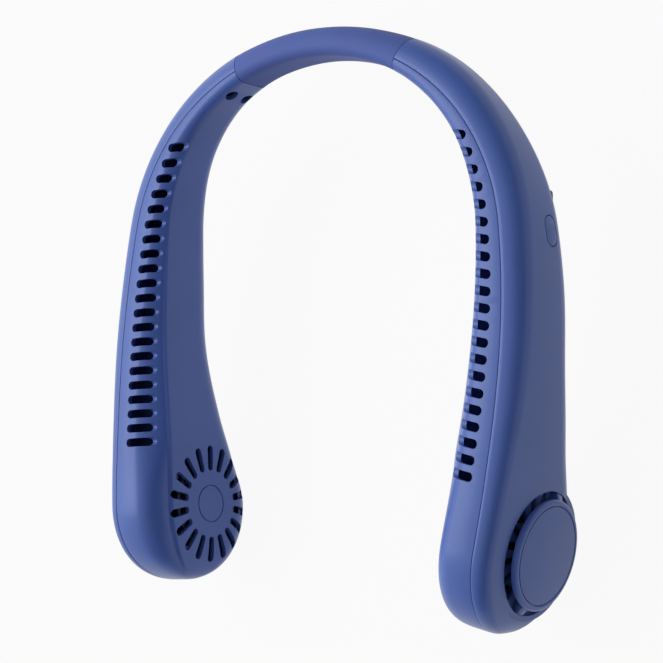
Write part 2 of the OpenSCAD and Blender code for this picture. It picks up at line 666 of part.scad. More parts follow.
module board() color(BOARD) at_button(board_n - board_t) translate([board_edge, board_below - board_h, 0])
    cube([board_l, board_h, board_t]);
module tact_switch() color("dimgray") at_button(board_n) {
    translate([-switch_w / 2, -switch_w / 2, 0]) cube([switch_w, switch_w, switch_h * 0.7]);
    cylinder(r = plunger_r, h = switch_h);
}
// Frame of the port: Z down and Y inwards, from a level y below the middle of the button
module at_port(y) at_button(board_n + port_t / 2)
    translate([board_ahead - port_back, y, 0]) rotate([-90, 0, 0]) children();
module usb_port() color(METAL) at_port(board_below + port_overhang - port_l) {
    linear_extrude(height = port_wall) stadium(port_w, port_t);
    linear_extrude(height = port_l) difference() {
        stadium(port_w, port_t);
        stadium(port_w - 2 * port_wall, port_t - 2 * port_wall);
    }
    linear_extrude(height = port_l - port_wall) square([port_w * 0.7, port_tongue_t], center = true);
}
// The face of the button follows the skin of the arm
module power_button() color(SHELL_DARK) {
    intersection() {
        outer_body();
        at_button(rim_n - button_rim_t) rotate(button_lean) linear_extrude(height = paddle_t / 2)
            stadium(button_l, button_w);
    }
    at_button(rim_n - button_rim_t) rotate(button_lean) linear_extrude(height = button_rim_t)
        stadium(button_l + 2 * button_rim_w, button_w + 2 * button_rim_w);
}

// Dished cap with a pocket for its disc, on ribs that rise to its rim from the edge of the recess
module intake_cap() color(SHELL) {
    at_fan() rotate_extrude() polygon(concat(
        [[0, cap_face_z - disc_t], [disc_r + seat, cap_face_z - disc_t], [disc_r + seat, cap_face_z]],
        [for (i = [edge_steps:-1:0]) let (p = turned(1, 90 * i / edge_steps))
            [mix(disc_r + 4 * seat, cap_r, p[0]), mix(cap_z + cap_rim_h, cap_face_z, p[1])]],
        [[cap_r, cap_z], [cap_r - cap_wall, cap_z], [cap_r - 2 * cap_wall, cap_face_z - disc_t - cap_wall],
        [0, cap_face_z - disc_t - cap_wall]]));
    at_fan() for (i = [0:rib_count - 1]) rotate(rib_turn + rib_pitch * i) translate([0, rib_t / 2, 0])
        rotate([90, 0, 0]) linear_extrude(height = rib_t) polygon([[cap_r - cap_wall, floor_z],
            [recess_r - 2 * seat, floor_z], [recess_r - 2 * seat, paddle_t / 2], [cap_r, cap_z + cap_rim_h / 2],
            [cap_r - cap_wall, cap_z + cap_rim_h / 2]]);
}
module cap_disc() color(SHELL_DARK) at_fan(cap_face_z - disc_t) cylinder(r = disc_r, h = disc_t);

// Blade outline: an arc from the inner to the outer radius
function blade_point(t, offset) = let (r = mix(blade_in_r, impeller_r - seat, t), a = blade_lead * t * t)
    turned(r, a) + turned(offset, a + 90);
module impeller() color(SHELL_DARK) difference() {
    union() {
        at_fan(impeller_z) cylinder(r = hub_r, h = blade_h + rotor_wall);
        at_fan(plate_z) cylinder(r = impeller_r, h = rotor_wall);
        at_fan(impeller_z) ring_cut(impeller_r, impeller_r - 1.5 * rotor_wall, rotor_wall);
        at_fan(impeller_z) linear_extrude(height = blade_h + rotor_wall / 2)
            for (i = [0:blade_count - 1]) rotate(i * 360 / blade_count)
                polygon(concat([for (k = [0:blade_steps]) blade_point(k / blade_steps, blade_t / 2)],
                    [for (k = [blade_steps:-1:0]) blade_point(k / blade_steps, -blade_t / 2)]));
    }
    difference() {
        at_fan(impeller_z + rotor_wall) cylinder(r = hub_r - rotor_wall, h = blade_h + over);
        at_fan(impeller_z) cylinder(r = core_r, h = rotor_wall + core_l);
    }
    at_fan(impeller_z + rotor_wall) cylinder(r = shaft_r, h = blade_h);
    around(pole_count, (hub_r + blade_in_r) / 2, plate_z - over)
        cylinder(r = (blade_in_r - hub_r) * 0.4, h = rotor_wall + 2 * over);
}
module rotor_magnet() color("dimgray") at_fan(impeller_z + rotor_wall + seat)
    ring_cut(hub_r - rotor_wall - glue, hub_r - rotor_wall - magnet_t, magnet_h);
module motor_shaft() color(METAL) at_fan(impeller_z + rotor_wall)
    cylinder(r = shaft_r, h = base_z - free_gap - impeller_z - rotor_wall);
module motor_bearing() color("goldenrod") at_fan(core_z + free_gap)
    ring_cut(bearing_r, shaft_r + shaft_gap, base_z - core_z - free_gap);
module motor_stator() color("peru") at_fan(core_z + free_gap) linear_extrude(height = stator_h) difference() {
    circle(r = hub_r - rotor_wall - magnet_t - air_gap);
    circle(r = tube_r + glue);
    for (i = [0:pole_count - 1]) rotate(i * 360 / pole_count)
        radial_slot(tube_r + magnet_t, hub_r, magnet_t, magnet_t);
}
module motor_base() color(METAL) at_fan() {
    translate([0, 0, base_z]) cylinder(r = base_r, h = base_t);
    translate([0, 0, core_z + free_gap])
        ring_cut(tube_r, bearing_r + glue, base_z + base_t / 2 - core_z - free_gap);
}
module shell_screws() color(METAL) at_screws(floor_z) {
    cylinder(r = head_r, h = head_h);
    translate([0, 0, -screw_l]) cylinder(r = screw_r, h = screw_l);
}

band_sleeve();
flex_strip();
link_cable();
board();  // main_board
sided(-1) board();  // driver_board
tact_switch();
usb_port();
power_button();
for (side = SIDES) sided(side[1]) {
    outer_shell(side[1]);
    inner_shell();
    band_plug();
    band_screws();
    duct_divider();
    battery();
    intake_cap();
    cap_disc();
    impeller();
    rotor_magnet();
    motor_shaft();
    motor_bearing();
    motor_stator();
    motor_base();
    shell_screws();
}
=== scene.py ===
# %% [markdown]
# # A neck fan
# The object is a fan worn round the neck: two hollow plastic arms, joined behind the
# neck by a soft silicone band. Each arm ends in a paddle with a small centrifugal fan,
# which draws air in through a radial grille and a gap behind a round cap, and blows it
# out through a row of slots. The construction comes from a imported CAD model, which this
# lesson loads as a frame and never moves. What Blender adds is the smooth moulded skin
# of each piece, its finish, and the light.

# %% Load the frame
import json
import math
import bpy
from mathutils import Matrix, Vector


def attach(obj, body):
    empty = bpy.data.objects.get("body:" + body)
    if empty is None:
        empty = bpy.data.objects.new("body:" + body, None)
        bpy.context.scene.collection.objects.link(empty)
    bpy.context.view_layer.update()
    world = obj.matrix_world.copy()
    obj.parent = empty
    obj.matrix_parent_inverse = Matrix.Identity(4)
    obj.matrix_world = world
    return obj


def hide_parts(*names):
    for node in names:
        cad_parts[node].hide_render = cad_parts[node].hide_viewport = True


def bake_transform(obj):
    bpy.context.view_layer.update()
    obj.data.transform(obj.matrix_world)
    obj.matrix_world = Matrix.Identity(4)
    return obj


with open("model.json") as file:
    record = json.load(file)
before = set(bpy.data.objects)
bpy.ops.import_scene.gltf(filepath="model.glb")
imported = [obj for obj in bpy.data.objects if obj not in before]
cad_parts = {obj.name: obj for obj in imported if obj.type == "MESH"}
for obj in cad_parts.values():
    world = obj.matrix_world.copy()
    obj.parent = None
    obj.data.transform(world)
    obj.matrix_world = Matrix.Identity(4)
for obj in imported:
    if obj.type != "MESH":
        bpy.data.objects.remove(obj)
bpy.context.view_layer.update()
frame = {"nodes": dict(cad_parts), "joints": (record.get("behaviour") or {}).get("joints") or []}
MM = 0.001

# %% [markdown]
# ## The camera
# The photograph was taken from above and from the wearer's left, with a long lens. The
# place of the camera, its turn and its lens were solved from the photograph once, and
# are written here as plain sizes: millimetres and degrees in the frame of the object.

# %% Set the camera
CAMERA_PLACE = Vector((429.16, -28.12, 583.67)) * MM
CAMERA_TURN = [math.radians(a) for a in (4.9465, 38.1036, 4.9027)]
CAMERA_LENS = 93.95

camera = bpy.data.objects.new("camera", bpy.data.cameras.new("camera"))
bpy.context.scene.collection.objects.link(camera)
camera.location = CAMERA_PLACE
camera.rotation_euler = CAMERA_TURN
camera.data.sensor_width = 36
camera.data.lens = CAMERA_LENS
camera.data.clip_end = 10
bpy.context.scene.camera = camera
print("camera stands", round(CAMERA_PLACE.length, 3), "m from the object")

# %% [markdown]
# ## Helpers for modelling
# Most pieces here start as one of Blender's primitives. Loading the frame leaves the
# CAD nodes selected, and an operator acts on everything that is selected, so each step
# first picks the one object that it works on.

# %% Pick, edit and clean a piece
WELD_DISTANCE, SMOOTH_ANGLE = 0.002, 32


def pick(*pieces):
    bpy.ops.object.select_all(action="DESELECT")
    for piece in pieces:
        piece.select_set(True)
    bpy.context.view_layer.objects.active = pieces[0]


def named(name):
    piece = bpy.context.object
    piece.name = piece.data.name = name
    return piece


def edit(piece, *steps):
    """Runs operators in edit mode, each on the whole mesh."""
    pick(piece)
    bpy.ops.object.mode_set(mode="EDIT")
    for step in steps:
        bpy.ops.mesh.select_all(action="SELECT")
        step()
    bpy.ops.object.mode_set(mode="OBJECT")


def weld():
    bpy.ops.mesh.remove_doubles(threshold=WELD_DISTANCE * MM)


def face_outwards():
    bpy.ops.mesh.normals_make_consistent(inside=False)


def close_open_ends():
    """Closes each open edge loop with a face."""
    bpy.ops.mesh.select_mode(type="EDGE")
    bpy.ops.mesh.select_all(action="DESELECT")
    bpy.ops.mesh.select_non_manifold(extend=False, use_wire=False, use_multi_face=False,
                                     use_non_contiguous=False, use_verts=False)
    bpy.ops.mesh.edge_face_add()
    bpy.ops.mesh.select_mode(type="VERT")


def apply_modifiers(piece):
    pick(piece)
    for modifier in list(piece.modifiers):
        bpy.ops.object.modifier_apply(modifier=modifier.name)


def cut(piece, cutters, operation="DIFFERENCE"):
    """Cuts a group of separate closed solids out of a piece, and drops them."""
    if len(cutters) > 1:
        pick(*cutters)
        bpy.ops.object.join()
    cutter = cutters[0]
    edit(cutter, face_outwards)
    modifier = piece.modifiers.new("cut", "BOOLEAN")
    modifier.operation = operation
    modifier.solver = "EXACT"
    modifier.object = cutter
    apply_modifiers(piece)
    bpy.data.objects.remove(cutter)


def smooth(piece):
    pick(piece)
    bpy.ops.object.shade_smooth_by_angle(angle=math.radians(SMOOTH_ANGLE))


def to_right_side(piece, name):
    """A copy with its own mesh, mirrored from the wearer's left to the right."""
    copy = piece.copy()
    copy.data = piece.data.copy()
    copy.name = copy.data.name = name
    bpy.context.scene.collection.objects.link(copy)
    copy.data.transform(Matrix.Scale(-1, 4, (1, 0, 0)))
    copy.data.flip_normals()
    return copy


# %% [markdown]
# ## The sizes of the arm
# An arm is a moulded shell with no straight edge: its section grows from the slim band
# to the tall paddle while it turns round the neck. The way to hold such a form is to
# write it as a section that changes along a centre line. The centre line is three arcs
# and a straight foot. Each section size follows a short table of shares along the way,
# with a smooth curve through it. All of it is in millimetres.

# %% Centre line and tables of shares
CROWN_R, CROWN_SWEEP = 111.4, 18.5
SHOULDER_R, SHOULDER_SWEEP = 78.8, 65.7
SIDE_R, SIDE_SWEEP = 332, 13.1
FOOT_L, TIP_L = 42.3, 32
BAND_T, BAND_H = 12, 20
PADDLE_T, PADDLE_H = 26, 65
EDGE_SAG, WALL, SEAM_GAP, PANEL_RAISE = 1.8, 2, 0.15, 1.2
BAND_HALF_L, SLEEVE_WALL = 42, 1.7
ARCS = [(CROWN_R, CROWN_SWEEP), (SHOULDER_R, SHOULDER_SWEEP), (SIDE_R, SIDE_SWEEP)]
FAN_S = sum(r * math.radians(sweep) for r, sweep in ARCS) + FOOT_L

THICK_SHARES = [(0, 0), (0.12, 0.07), (0.18, 0.155), (0.24, 0.25), (0.36, 0.37), (0.48, 0.575), (0.6, 0.755),
                (0.72, 0.905), (0.88, 1), (1, 1)]
HEIGHT_SHARES = [(0, 0), (0.12, 0), (0.18, 0.02), (0.24, 0.045), (0.36, 0.15), (0.48, 0.28), (0.6, 0.38),
                 (0.72, 0.465), (0.84, 0.66), (0.92, 0.84), (1, 1)]
SAG_SHARES = [(0, 0.1), (0.2, 0.1), (0.37, 0.27), (0.6, 1), (0.77, 0.78), (0.9, 0.34), (1, 0)]
SHOULDER_SHARES = [(0, 0.62), (0.2, 0.68), (0.5, 0.435), (0.75, 0.32), (1, 0.22)]
SLOPE_SHARES = [(0, 0.36), (0.3, 0.22), (0.6, 0.19), (1, 0.365)]
DROP_SHARES = [(0, 0.2), (0.3, 0.21), (0.6, 0.195), (0.85, 0.21), (1, 0.18)]
GAP_SHARES = [(0.37, 0.46), (0.4, 0.61), (0.43, 0.71), (0.5, 0.82), (0.6, 0.86), (0.7, 0.96), (0.9, 1.06)]
LOWER_SHARE, ROUND_SHARE, FULL_SHARE, DROP_LIMIT = 0.46, 0.48, 0.75, 0.36
TIP_POWER, TIP_HEIGHT_POWER = 4, 2
PANEL_RISES = 0.35, 0.75


def mix(a, b, t):
    return a + (b - a) * t


def share(x, start, end):
    return min(max((x - start) / (end - start), 0), 1)


def ease(t):
    return t * t * (3 - 2 * t)


def slope_at(table, i):
    if i in (0, len(table) - 1):
        return 0
    return (table[i + 1][1] - table[i - 1][1]) / (table[i + 1][0] - table[i - 1][0])


def curve(table, x):
    """A smooth curve through a table of (place, value) pairs."""
    i = 0
    while i < len(table) - 2 and x > table[i + 1][0]:
        i += 1
    step = table[i + 1][0] - table[i][0]
    rise = table[i + 1][1] - table[i][1]
    t = share(x, table[i][0], table[i + 1][0])
    a, b = slope_at(table, i) * step, slope_at(table, i + 1) * step
    return table[i][1] + a * t + (3 * rise - 2 * a - b) * t * t + (a + b - 2 * rise) * t ** 3


# %% [markdown]
# The functions below give the section at a distance s along the arm. w is how far the
# section is taken in on every side, so the same functions give the outer skin with
# w = 0 and the inner skin with w = the wall.

# %% Sections of the arm
def centre(s):
    """The place and turn (degrees) of the centre line at s, with the crown at y = 0."""
    x = y = turn = 0
    for r, sweep in ARCS:
        whole = r * math.radians(sweep)
        after = turn + sweep * min(s / whole, 1)
        x += r * (math.sin(math.radians(after)) - math.sin(math.radians(turn)))
        y += r * (math.cos(math.radians(after)) - math.cos(math.radians(turn)))
        turn = after
        if s <= whole:
            return x, y, turn
        s -= whole
    return x + s * math.cos(math.radians(turn)), y - s * math.sin(math.radians(turn)), turn


def way(s):
    return min(s / FAN_S, 1)


def past(s, w):
    return share(s - FAN_S, 0, TIP_L - w)


def taper(x, power):
    return (1 - x ** power) ** (1 / power)


def thick(s, w=0):
    return (mix(BAND_T, PADDLE_T, curve(THICK_SHARES, way(s))) - 2 * w) * taper(past(s, w), TIP_POWER)


def full_height(s, w):
    return mix(BAND_H, PADDLE_H, curve(HEIGHT_SHARES, way(s))) - 2 * w


def height(s, w=0):
    return full_height(s, w) * taper(past(s, w), TIP_HEIGHT_POWER)


def sag(s):
    return EDGE_SAG * curve(SAG_SHARES, way(s))


def top_drop(s, w=0):
    return w + sag(s) + (full_height(s, w) - height(s, w)) / 2


def shoulder(s, w=0):
    wanted = thick(s) * curve(SHOULDER_SHARES, way(s)) - w
    return min(wanted, ROUND_SHARE * height(s, w), FULL_SHARE * thick(s, w))


def lower_r(s, w=0):
    return min(LOWER_SHARE * thick(s) - w, ROUND_SHARE * height(s, w), ROUND_SHARE * thick(s, w))


def slope_run(s):
    return thick(s) * curve(SLOPE_SHARES, way(s))


def slope_drop(s):
    return height(s) * curve(DROP_SHARES, way(s))


def raised(s):
    return PANEL_RAISE * ease(share(way(s), *PANEL_RISES)) * thick(s) / PADDLE_T


FAN_PLACE = next(j["pos_m"] for j in frame["joints"] if j["name"] == "fan_spin_left")
CROWN_Y = FAN_PLACE[1] / MM - centre(FAN_S)[1]
TOP_Z = PADDLE_H


def place(s, n, z):
    """The point at s along the arm, n outwards and z above its top, in metres."""
    x, y, turn = centre(s)
    turn = math.radians(turn)
    return Vector((x + n * math.sin(turn), y + n * math.cos(turn) + CROWN_Y, TOP_Z + z)) * MM


print("the arm is", round(FAN_S + TIP_L - BAND_HALF_L), "mm long; the fan is at", round(FAN_S, 1))

# %% [markdown]
# ## The skin of a shell
# The moulded shells come from one tool: a closed C-shaped profile, which runs along the
# outer skin from seam to seam, turns round the rim and comes back along the inner skin.
# The slope that carries the slots is a quarter of an ellipse at both ends of the arm.
# Between them it flattens to a soft chamfer, and the fan panel leans out to meet it, so
# that the edge of the panel, and not the slope, is the outline that one sees. The edges
# along the seam are broken by a small radius, and so is the step below the slope.

# %% Profiles of the two shells
ARC_STEPS, SLOPE_STEPS, CREASE_STEPS = 9, 10, 3
EDGE_R, EDGE_SHARE = 0.25, 0.04
FLAT_SHARE, FLAT_POWER, LEAN_SHARE, LIFT_SHARE = 0.9, 1.5, 0.62, 0.84
FLAT_STARTS, FLAT_ENDS = (0.26, 0.44), (0.86, 0.99)
VIEW_SIDE, VIEW_RISE = 0.8, 0.6
CREASE_REACH, LEG_SHARE = 0.6, 0.45


def quarter(n, z, r, start):
    turns = [math.radians(start - 90 * i / ARC_STEPS) for i in range(ARC_STEPS + 1)]
    return [(n + r * math.cos(a), z + r * math.sin(a)) for a in turns]


def outer_skin(s, w):
    """From the upper seam over the outer side to the lower seam."""
    h, t = thick(s, w) / 2, -top_drop(s, w)
    b = t - height(s, w)
    r, q = shoulder(s, w), lower_r(s, w)
    return quarter(h - r, t - r, r, 90) + quarter(h - q, b + q, q, 0)


def softened(points, most):
    """The polyline with each inner corner turned into a short curve."""
    result = [points[0]]
    for before, corner, after in zip(points, points[1:], points[2:]):
        legs = [math.dist(corner, p) for p in (before, after)]
        reach = min(most, LEG_SHARE * min(legs))
        a = [c + (p - c) * reach / max(legs[0], 1e-9) for c, p in zip(corner, before)]
        b = [c + (p - c) * reach / max(legs[1], 1e-9) for c, p in zip(corner, after)]
        for i in range(CREASE_STEPS + 1):
            t = i / CREASE_STEPS
            result.append(tuple((1 - t) ** 2 * p + 2 * t * (1 - t) * c + t * t * q
                                for p, c, q in zip(a, corner, b)))
    return result


def inset(length, w):
    return max(length - w, length / 3)


def flat(s):
    """How far the slope is flattened to a soft chamfer at s."""
    starts, ends = share(way(s), *FLAT_STARTS), share(way(s), *FLAT_ENDS)
    return FLAT_SHARE * ease(starts) * (1 - ease(ends))


def bulge(s):
    """How far the round slope stands out from a chamfer, seen from the camera."""
    side, rise = VIEW_SIDE * slope_run(s), VIEW_RISE * slope_drop(s)
    return math.hypot(side, rise) - side


def inner_skin(s, w):
    """From the lower seam up the fan panel and the slope to the upper seam."""
    h, t = thick(s, w) / 2, -top_drop(s, w)
    b, q, seam = t - height(s, w), lower_r(s, w), h - shoulder(s, w)
    lean = h + LEAN_SHARE * flat(s) * bulge(s)
    drop = min(inset(slope_drop(s), w), DROP_LIMIT * height(s, w)) - LIFT_SHARE * flat(s) * bulge(s)
    up = min(raised(s), drop / 3)
    run = min(inset(slope_run(s), w) + lean - h, seam + lean - up)
    slope = [(-lean + up + run * (1 - math.cos(a)),
              t - drop * mix(1 - math.sin(a), math.cos(a) ** FLAT_POWER, flat(s)))
             for a in (math.pi / 2 * i / SLOPE_STEPS for i in range(SLOPE_STEPS + 1))]
    crease = t - drop - up
    below = crease - min(1, (crease - b - q) / 4)
    step = softened([(-h, b + q), (-lean, below), (-lean, crease), slope[0], slope[1]], CREASE_REACH)
    return [(h - q, b)] + quarter(-h + q, b + q, q, -90)[:-1] + step + slope[1:] + [(seam, t)]


def shell_profile(skin, side, s_out, s_in):
    """The closed profile of a shell: (s, n, z) from seam to seam and back inside."""
    shift = side * SEAM_GAP / 2
    edge = min(EDGE_R, EDGE_SHARE * thick(s_out))
    out = [(n + shift, z) for n, z in skin(s_out, 0)]
    back = [(n + shift, z) for n, z in reversed(skin(s_in, WALL))]
    ends = []
    for corner, along, inwards in ((out[0], out[1], back[-1]), (out[-1], out[-2], back[0])):
        sign = [math.copysign(1, along[0] - corner[0]), math.copysign(1, inwards[1] - corner[1])]
        ends.append([(corner[0] + sign[0] * edge * a, corner[1] + sign[1] * edge * b)
                     for a, b in ((0, 1), (0.3, 0.3), (1, 0))])
    points = [(s_out, *p) for p in ends[0] + out[1:-1] + ends[1][::-1]]
    return points + [(s_in, *p) for p in back]


# %% [markdown]
# A flat grid is the quickest start for a lofted skin: it already has rows and columns
# of faces, so only its vertices need new places. Row by row it becomes the stations
# along the arm, and column by column the points of the profile. The faces of the inner
# wall get a material slot of their own, which takes a much darker blue: painted shade
# for the inside that is seen through the openings.

# %% Loft a shell from a grid
ARM_STEPS, TIP_STEPS = 84, 30


def arm_stations():
    """Pairs of places along the arm, for the outer and the inner skin."""
    pairs = [(mix(BAND_HALF_L, FAN_S, i / ARM_STEPS),) * 2 for i in range(ARM_STEPS)]
    for i in range(TIP_STEPS + 1):
        reach = math.sin(math.pi / 2 * i / TIP_STEPS)
        pairs.append((FAN_S + TIP_L * reach, FAN_S + (TIP_L - WALL) * reach))
    return pairs


def grid_piece(name, rings, inner_from=None):
    """A piece through rings of points: a grid whose vertices are moved to them."""
    rows, columns = len(rings) - 1, len(rings[0]) - 1
    bpy.ops.object.select_all(action="DESELECT")
    bpy.ops.mesh.primitive_grid_add(x_subdivisions=columns, y_subdivisions=rows, size=1)
    piece = named(name)
    if inner_from is not None:
        for face in piece.data.polygons:
            face.material_index = int((face.center.x + 0.5) * columns >= inner_from)
    for vertex in piece.data.vertices:
        row = round((vertex.co.y + 0.5) * rows)
        column = round((vertex.co.x + 0.5) * columns)
        vertex.co = rings[row][column]
    return piece


def closed(ring):
    return ring + ring[:1]


def two_slots(piece):
    for _ in range(2):
        piece.data.materials.append(None)


def loft_shell(name, skin, side):
    rings = [closed([place(*p) for p in shell_profile(skin, side, *pair)]) for pair in arm_stations()]
    inside = len(rings[0]) - 1 - len(skin(FAN_S, WALL))
    piece = grid_piece(name, rings, inside)
    two_slots(piece)
    edit(piece, weld, close_open_ends, face_outwards)
    return piece


outer_left = loft_shell("outer_shell_skin_left", outer_skin, 1)
inner_left = loft_shell("inner_shell_skin_left", inner_skin, -1)
print("shell faces:", len(outer_left.data.polygons), len(inner_left.data.polygons))

# %% [markdown]
# ## Cutters
# The holes in the shells are cut with solids that are a little longer than the wall is
# thick. A slot with round ends is a cylinder whose halves are pulled apart: that keeps
# the ends truly round, which a scaled cylinder wouldn't.

# %% Frames on the arm, and a stadium cutter
OVER = 1


def on_arm(s, drop):
    """Matrix at s on the arm: X along the arm, Y outwards, Z up, from a drop below the top."""
    x, y, turn = centre(s)
    return (Matrix.Translation(place(s, 0, -sag(s) - drop))
            @ Matrix.Rotation(-math.radians(turn), 4, "Z"))


def facing_out(s, drop):
    """The same place, with Z outwards and Y down."""
    return on_arm(s, drop) @ Matrix.Rotation(-math.pi / 2, 4, "X")


def stadium(length, width, low, high, matrix, far_width=None, sides=32):
    """A solid along X from 0 to length, with round ends of two widths, from low to high in Z."""
    bpy.ops.object.select_all(action="DESELECT")
    bpy.ops.mesh.primitive_cylinder_add(vertices=sides, radius=width / 2, depth=high - low,
                                        location=(0, 0, (low + high) / 2))
    solid = named("cutter")
    solid.data.transform(Matrix.Translation(solid.location))
    solid.location = (0, 0, 0)
    grow = (far_width or width) / width
    for vertex in solid.data.vertices:
        if vertex.co.x > -0.001 * width:
            vertex.co.x = vertex.co.x * grow + length - width * grow / 2
            vertex.co.y *= grow
        else:
            vertex.co.x += width / 2
    solid.data.transform(Matrix.Scale(MM, 4))
    solid.data.transform(matrix)
    return solid


def cylinder(radius, low, high, matrix, x=0, y=0, sides=64):
    bpy.ops.object.select_all(action="DESELECT")
    bpy.ops.mesh.primitive_cylinder_add(vertices=sides, radius=radius * MM, depth=(high - low) * MM,
                                        location=(x * MM, y * MM, (low + high) / 2 * MM))
    solid = named("cutter")
    solid.data.transform(Matrix.Translation(solid.location))
    solid.location = (0, 0, 0)
    solid.data.transform(matrix)
    return solid


def dark(cutter):
    """Gives what this cutter leaves behind the second material, a much darker blue that is painted shade."""
    two_slots(cutter)
    for face in cutter.data.polygons:
        face.material_index = 1
    return cutter


def tube(radius, wall, low, high, matrix):
    solid = cylinder(radius, low, high, matrix, sides=96)
    cut(solid, [cylinder(radius - wall, low - OVER, high + OVER, matrix, sides=96)])
    return solid


# %% [markdown]
# ## The outlet slots
# Twenty-one slots run across the slope of each arm. They lie parallel, as if one tool had
# cut them all, and a little further apart towards the band. Each has a round end on the
# flat top, a little inside the seam, and a round floor where it runs out through the
# slope. One cutter has that form: strips across its width, each with its own floor and
# its own end. It is copied for every slot, and the joined copies are cut out in one go.

# %% Cut the outlet slots
SLOT_COUNT, SLOT_PITCH, SLOT_PITCH_GROWTH = 21, 5.94, 0.027
SLOT_LAST_S, SLOT_TURN = 218.5, 8
SLOT_DEPTHS = [(0, 5.8), (0.4, 4.8), (0.8, 4.1), (1, 4.1)]
SLOT_W, SLOT_SEAM_GAP = 3.5, 5
SLOT_STRIPS = 20


def slot_end(s):
    return place(s, thick(s) / 2 - shoulder(s) - SLOT_SEAM_GAP * curve(GAP_SHARES, way(s)), -sag(s))


def slot_place(y):
    """The place along the arm whose slot ends at y, found by halving."""
    low, high = BAND_HALF_L, SLOT_LAST_S + SLOT_W
    for _ in range(20):
        middle = (low + high) / 2
        if slot_end(middle).y > y:
            low = middle
        else:
            high = middle
    return middle


def slot_ring(k):
    """One strip of the cutter: its round floor and end, and its flat top and far end."""
    y = -SLOT_W / 2 * math.cos(math.pi * k / SLOT_STRIPS)
    back = SLOT_W / 2 - math.sqrt(max(SLOT_W ** 2 / 4 - y * y, 0))
    corners = [(back, back), (back, 3 * SLOT_W), (PADDLE_T, 3 * SLOT_W), (PADDLE_T, back)]
    return closed([Vector((x, y, z)) * MM for x, z in corners])


slot_cutter = grid_piece("slot_cutter", [slot_ring(k) for k in range(SLOT_STRIPS + 1)])
edit(slot_cutter, weld, close_open_ends, face_outwards)


def copy_of(piece, matrix):
    copy = piece.copy()
    copy.data = piece.data.copy()
    bpy.context.scene.collection.objects.link(copy)
    copy.data.transform(matrix)
    return copy


first_y = slot_end(SLOT_LAST_S).y
slot_turn = Matrix.Rotation(math.radians(180 - SLOT_TURN), 4, "Z")
cutters = []
for i in range(SLOT_COUNT):
    end = slot_end(slot_place(first_y + i * (SLOT_PITCH + (i - 1) / 2 * SLOT_PITCH_GROWTH) * MM))
    end.z -= curve(SLOT_DEPTHS, i / (SLOT_COUNT - 1)) * MM
    cutters.append(copy_of(slot_cutter, Matrix.Translation(end) @ slot_turn))
bpy.data.objects.remove(slot_cutter)
cut(inner_left, cutters)
print("slots on each arm:", SLOT_COUNT, "faces now:", len(inner_left.data.polygons))

# %% [markdown]
# ## The fan panel
# The intake is a ring of radial slots, wider at their outer ends, round a bare disc
# with an engraved ring. They are all one cutter, turned round the fan's axis. The two
# round holes near the band hold the screws that fix the arm to the band.

# %% Cut the radial grille, the ring and the screw holes
INTAKE_COUNT, INTAKE_IN_R, INTAKE_OUT_R = 18, 14.1, 24.9
INTAKE_IN_W, INTAKE_OUT_W = 3.1, 3.6
RING_R, RING_W = 7.8, 0.5
FAN_DROP = 0.565 * PADDLE_H
BAND_SCREW_S, BAND_SCREW_PITCH, BAND_BORE_R, BAND_BORE_DEPTH = 52, 9.4, 2.8, 3.5
at_fan = facing_out(FAN_S, FAN_DROP)


def radial_slots(in_r, out_r, in_w, out_w, low, high):
    """A ring of slots round the fan's axis, each from one radius to the other."""
    slots = []
    for i in range(INTAKE_COUNT):
        turn = Matrix.Rotation(2 * math.pi * i / INTAKE_COUNT, 4, "Z")
        out = Matrix.Translation((in_r * MM, 0, 0))
        slots.append(stadium(out_r - in_r, in_w, low, high, at_fan @ turn @ out, out_w))
    return slots


cutters = radial_slots(INTAKE_IN_R, INTAKE_OUT_R, INTAKE_IN_W, INTAKE_OUT_W,
                       -PADDLE_T / 2 - OVER, -PADDLE_T / 2 + WALL + PANEL_RAISE + OVER)
cutters.append(tube(RING_R + RING_W / 2, RING_W, -PADDLE_T / 2 - OVER, -PADDLE_T / 2 + RING_W, at_fan))
at_screws = facing_out(BAND_SCREW_S, height(BAND_SCREW_S) / 2)
inner_face = -thick(BAND_SCREW_S) / 2
# The bores take the darker blue of the inside, as painted shade.
for y in (-BAND_SCREW_PITCH / 2, BAND_SCREW_PITCH / 2):
    bore = cylinder(BAND_BORE_R, inner_face - OVER, inner_face + BAND_BORE_DEPTH, at_screws, y=y, sides=40)
    cutters.insert(0, dark(bore))
cut(inner_left, cutters)
print("intake slots:", INTAKE_COUNT, "inner shell faces:", len(inner_left.data.polygons))

# %% [markdown]
# ## The recess behind the cap
# The outer shell has a round recess with air slots in its floor. The floor is a disc of
# its own, joined to the shell, and the wall of the recess is cut through the skin. What
# these cutters leave behind takes the darker blue of the inside, which is painted shade.

# %% Cut the recess and the slots in its floor
RECESS_R, RECESS_D, DISC_SUNK = 23.7, 2.4, 0.6
FLOOR_IN_R, FLOOR_OUT_R, FLOOR_W = 11, 22.6, 3
CAP_PROUD = 3.5
FLOOR_Z = PADDLE_T / 2 - RECESS_D

whole_skin = copy_of(outer_left, Matrix.Identity(4))
floor_disc = cylinder(RECESS_R + WALL, FLOOR_Z - WALL, PADDLE_T / 2 - DISC_SUNK, at_fan, sides=128)
cut(outer_left, [floor_disc], "UNION")
# The wall and floor of the recess, and the walls of the floor slots, take the darker blue as painted shade.
cut(outer_left, [dark(cylinder(RECESS_R, FLOOR_Z, PADDLE_T / 2 + CAP_PROUD, at_fan, sides=128))])
floor_slots = radial_slots(FLOOR_IN_R, FLOOR_OUT_R, FLOOR_W, FLOOR_W, FLOOR_Z - WALL - OVER, FLOOR_Z + OVER)
cut(outer_left, [dark(slot) for slot in floor_slots])
outer_right = to_right_side(outer_left, "outer_shell_skin_right")
inner_right = to_right_side(inner_left, "inner_shell_skin_right")
print("outer shell faces:", len(outer_left.data.polygons))

